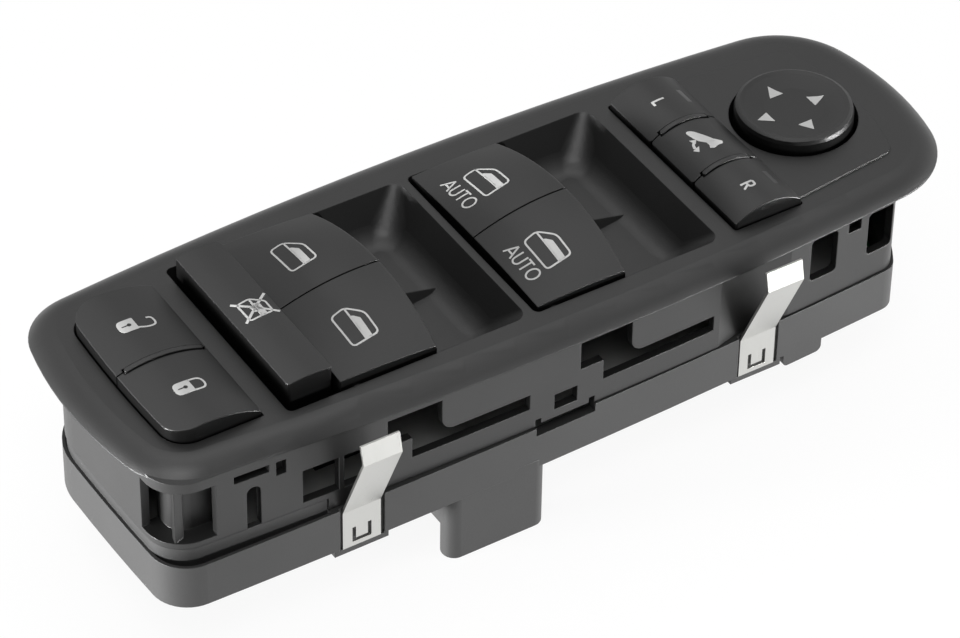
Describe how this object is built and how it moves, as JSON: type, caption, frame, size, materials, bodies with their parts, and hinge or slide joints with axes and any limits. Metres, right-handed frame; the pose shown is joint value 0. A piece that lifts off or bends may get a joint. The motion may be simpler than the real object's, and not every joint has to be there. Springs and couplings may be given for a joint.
{
  "type": "driver's master power window switch",
  "caption": "Door trim switch panel with lock buttons, window paddles beside finger pockets, a lockout bar, mirror buttons and a tilting mirror knob, over a case with spring clips.",
  "frame": {"origin": "middle of the rim's seat plane, the underside of the bezel that lies on the door trim", "axes": "+X along the panel towards the mirror knob, +Z out of the trim, +Y to the driver's left side"},
  "size_m": [0.2169, 0.0834, 0.0595],
  "materials": {
    "bezel_plastic": "fine-grained matte black moulding",
    "case_plastic": "matte black moulding",
    "cap_plastic": "soft matte black, printed in pale grey",
    "knob_plastic": "matte black, printed in pale grey",
    "lens_plastic": "dark translucent window",
    "clip_steel": "bright spring steel",
    "board_laminate": "green lacquered laminate",
    "contact_silicone": "pale silicone",
    "switch_body": "black plastic",
    "led_body": "pale plastic",
    "pin_metal": "plated brass",
    "inner_plastic": "natural acetal"
  },
  "bodies": {
    "housing": {"bezel": "bezel_plastic", "base_housing": "case_plastic", "circuit_board": "board_laminate", "contact_mat": "contact_silicone", "window_switches": "switch_body", "indicator_leds": "led_body", "connector_pins": "pin_metal", "left_clip": "clip_steel", "right_clip": "clip_steel"},
    "rear_left_paddle_body": {"rear_left_paddle": "cap_plastic"},
    "rear_right_paddle_body": {"rear_right_paddle": "cap_plastic"},
    "front_left_paddle_body": {"front_left_paddle": "cap_plastic"},
    "front_right_paddle_body": {"front_right_paddle": "cap_plastic"},
    "lockout_body": {"lockout_button": "cap_plastic"},
    "unlock_body": {"unlock_button": "cap_plastic"},
    "lock_body": {"lock_button": "cap_plastic"},
    "mirror_left_body": {"mirror_left_button": "cap_plastic", "left_indicator_lens": "lens_plastic"},
    "mirror_fold_body": {"mirror_fold_button": "cap_plastic"},
    "mirror_right_body": {"mirror_right_button": "cap_plastic", "right_indicator_lens": "lens_plastic"},
    "gimbal_body": {"knob_gimbal": "inner_plastic"},
    "knob_body": {"mirror_knob": "knob_plastic", "knob_actuator": "inner_plastic"}
  },
  "joints": [
    {"name": "rear_left_paddle_tilt", "type": "hinge", "parent": "housing", "child": "rear_left_paddle_body", "pos_m": [-0.0535, 0.01365, 0.001], "axis": [0, 1, 0], "range_deg": [-4, 5], "stiffness_Nm_per_rad": 1},
    {"name": "rear_right_paddle_tilt", "type": "hinge", "parent": "housing", "child": "rear_right_paddle_body", "pos_m": [-0.0535, -0.01365, 0.001], "axis": [0, 1, 0], "range_deg": [-4, 5], "stiffness_Nm_per_rad": 1},
    {"name": "front_left_paddle_tilt", "type": "hinge", "parent": "housing", "child": "front_left_paddle_body", "pos_m": [-0.0036, 0.01365, 0.001], "axis": [0, 1, 0], "range_deg": [-4, 5], "stiffness_Nm_per_rad": 1},
    {"name": "front_right_paddle_tilt", "type": "hinge", "parent": "housing", "child": "front_right_paddle_body", "pos_m": [-0.0036, -0.01365, 0.001], "axis": [0, 1, 0], "range_deg": [-4, 5], "stiffness_Nm_per_rad": 1},
    {"name": "lockout_press", "type": "slide", "parent": "housing", "child": "lockout_body", "axis": [0, 0, -1], "range_m": [0, 0.002]},
    {"name": "unlock_press", "type": "slide", "parent": "housing", "child": "unlock_body", "axis": [0, 0, -1], "range_m": [0, 0.0013], "stiffness_N_per_m": 2000, "springref_m": -0.0005},
    {"name": "lock_press", "type": "slide", "parent": "housing", "child": "lock_body", "axis": [0, 0, -1], "range_m": [0, 0.0013], "stiffness_N_per_m": 2000, "springref_m": -0.0005},
    {"name": "mirror_left_press", "type": "slide", "parent": "housing", "child": "mirror_left_body", "axis": [0, 0, -1], "range_m": [0, 0.0013], "stiffness_N_per_m": 2000, "springref_m": -0.0005},
    {"name": "mirror_fold_press", "type": "slide", "parent": "housing", "child": "mirror_fold_body", "axis": [0, 0, -1], "range_m": [0, 0.0013], "stiffness_N_per_m": 2000, "springref_m": -0.0005},
    {"name": "mirror_right_press", "type": "slide", "parent": "housing", "child": "mirror_right_body", "axis": [0, 0, -1], "range_m": [0, 0.0013], "stiffness_N_per_m": 2000, "springref_m": -0.0005},
    {"name": "knob_tilt_sideways", "type": "hinge", "parent": "housing", "child": "gimbal_body", "pos_m": [0.0788, 0, -0.006], "axis": [1, 0, 0], "range_deg": [-4, 4], "stiffness_Nm_per_rad": 0.3},
    {"name": "knob_tilt_lengthways", "type": "hinge", "parent": "gimbal_body", "child": "knob_body", "pos_m": [0.0788, 0, -0.006], "axis": [0, 1, 0], "range_deg": [-4, 4], "stiffness_Nm_per_rad": 0.3}
  ]
}
